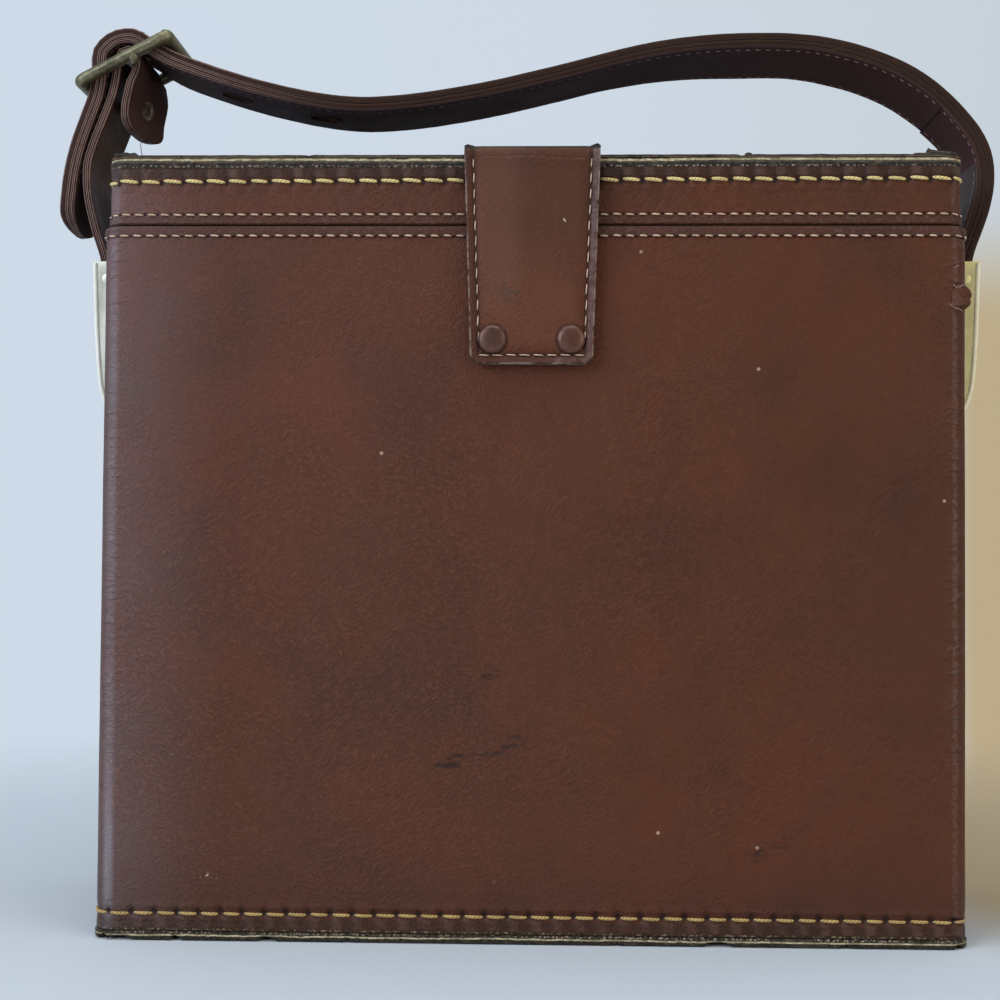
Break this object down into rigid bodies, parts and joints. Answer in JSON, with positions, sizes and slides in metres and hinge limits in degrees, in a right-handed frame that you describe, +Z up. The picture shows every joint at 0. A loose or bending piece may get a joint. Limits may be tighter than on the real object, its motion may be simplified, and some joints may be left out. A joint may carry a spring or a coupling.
{
  "type": "camera case",
  "caption": "Upright leatherette camera case with a rear-hinged lid, a magnetic closing tab with cap rivets, and a buckled shoulder strap on swivelling side brackets.",
  "frame": {"origin": "middle of the flat bottom, on the surface that the case stands on", "axes": "+X to the right seen from the front, across the width; -Y out of the front with the tab; +Z up through the lid"},
  "size_m": [0.265, 0.0886, 0.2556],
  "materials": {
    "board": "bare grey-brown fibreboard, sawn edges",
    "leatherette": "satin brown leatherette, fine pebbled grain, mottled and scuffed",
    "binding": "satin brown leatherette binding with fine stitching",
    "rim": "worn black edge with rubbed cream core showing",
    "strap_leather": "dark brown laminated strap, ribbed edges",
    "collar": "black matt collar",
    "lining": "short-pile dark red lining cloth",
    "foam": "cloth-faced foam pad",
    "hinge_brass": "dull brass",
    "steel": "bright plain steel",
    "magnet": "dark grey sintered magnet",
    "bracket_left": "pale ivory-gold lacquered pressed metal",
    "bracket_right": "pale gold lacquered pressed metal",
    "buckle": "antiqued greenish brass, rubbed bright on its edges",
    "cap": "brown enamelled cap rivets, worn at the middle"
  },
  "bodies": {
    "case": {"bottom_sole": "rim", "bottom_board": "board", "front_board": "board", "back_board": "board", "left_board": "board", "right_board": "board", "body_cover": "leatherette", "mouth_binding": "binding", "mouth_collar": "collar", "body_lining": "lining", "floor_pad": "foam", "divider_board": "board", "divider_sleeve": "lining", "hinge_leaf_body": "hinge_brass", "hinge_pin": "steel", "hinge_rivets_body": "hinge_brass", "catch_cup": "steel", "catch_magnet": "magnet", "catch_rivet": "hinge_brass", "left_backing": "bracket_right", "right_backing": "bracket_right", "left_stud": "bracket_right", "right_stud": "bracket_right"},
    "lid": {"hinge_leaf_lid": "hinge_brass", "hinge_rivets_lid": "hinge_brass", "lid_top_board": "board", "lid_front_board": "board", "lid_back_board": "board", "lid_left_board": "board", "lid_right_board": "board", "lid_cover": "leatherette", "lid_rim": "rim", "lid_top_skin": "leatherette", "lid_lining": "lining", "lid_pad": "foam", "tab_anchor": "leatherette"},
    "tab": {"tab_flap": "binding", "tab_facing": "leatherette", "tab_backing": "strap_leather", "tab_keeper": "steel", "tab_rivets": "cap"},
    "strap": {"left_bracket": "bracket_left", "right_bracket": "bracket_right", "strap_pins": "buckle", "long_strap": "strap_leather", "short_strap": "strap_leather", "short_strap_fold": "strap_leather", "strap_rivet": "buckle", "buckle_frame": "buckle"},
    "prong": {"buckle_prong": "buckle"}
  },
  "joints": [
    {"name": "lid_hinge", "type": "hinge", "parent": "case", "child": "lid", "pos_m": [0, 0.0408, 0.1924], "axis": [-1, 0, 0], "range_deg": [0, 105]},
    {"name": "strap_swing", "type": "hinge", "parent": "case", "child": "strap", "pos_m": [0, 0, 0.147], "axis": [-1, 0, 0], "range_deg": [0, 105]},
    {"name": "tab_lift", "type": "hinge", "parent": "lid", "child": "tab", "pos_m": [0, -0.0431, 0.2106], "axis": [-1, 0, 0], "range_deg": [0, 130]},
    {"name": "prong_lift", "type": "hinge", "parent": "strap", "child": "prong", "pos_m": [-0.1172, 0, 0.2456], "axis": [0, -1, 0], "range_deg": [0, 30]}
  ],
  "couplings": [
    {"joint": "strap_swing", "follows": "lid_hinge", "ratio": 1}
  ]
}
